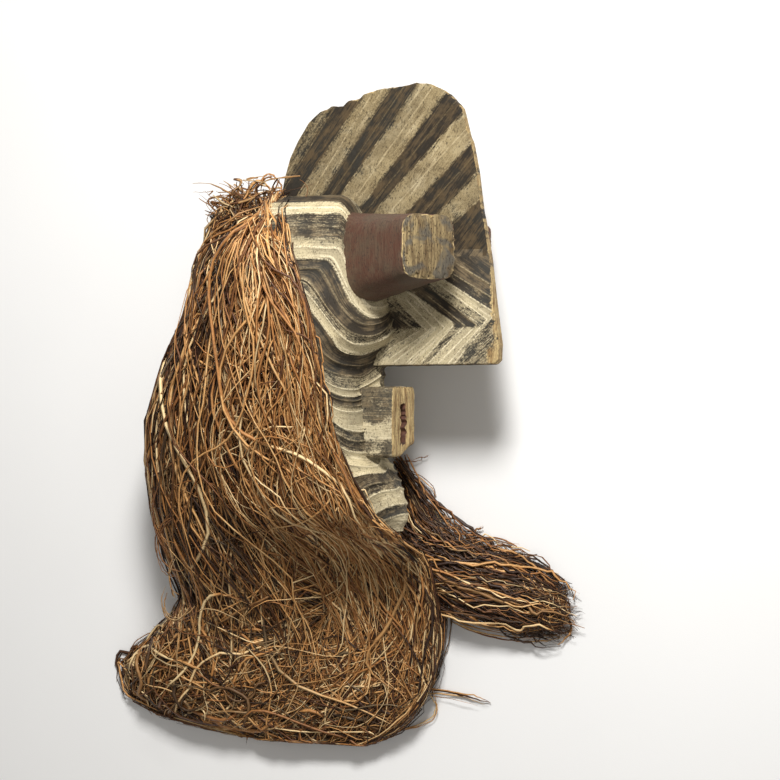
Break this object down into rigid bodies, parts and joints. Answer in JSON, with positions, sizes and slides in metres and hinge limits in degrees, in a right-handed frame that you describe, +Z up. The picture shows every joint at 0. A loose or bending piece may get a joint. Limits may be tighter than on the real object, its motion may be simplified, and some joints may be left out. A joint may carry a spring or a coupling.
{
  "type": "carved wooden mask with raffia fringe",
  "caption": "Hollow carved wooden face mask with a tall crest and nose plate, projecting eyes, a block mouth and a laced raffia fringe, lying on its side.",
  "frame": {"origin": "on the floor, under the middle of the whole lying part", "axes": "+Z up from the floor and towards the mask's own right side; +Y from the chin to the crest; +X forward out of the face along the nose"},
  "size_m": [0.606, 0.806, 0.2811],
  "materials": {
    "painted_wood": "carved wood in worn pale and black earth paint, dark red eyes and bare ochre edges, matte",
    "raffia": "dry golden brown raffia strands, faintly glossy"
  },
  "bodies": {
    "root": {"mask": "painted_wood", "raffia_fringe": "raffia", "raffia_left_hank": "raffia"}
  },
  "joints": []
}
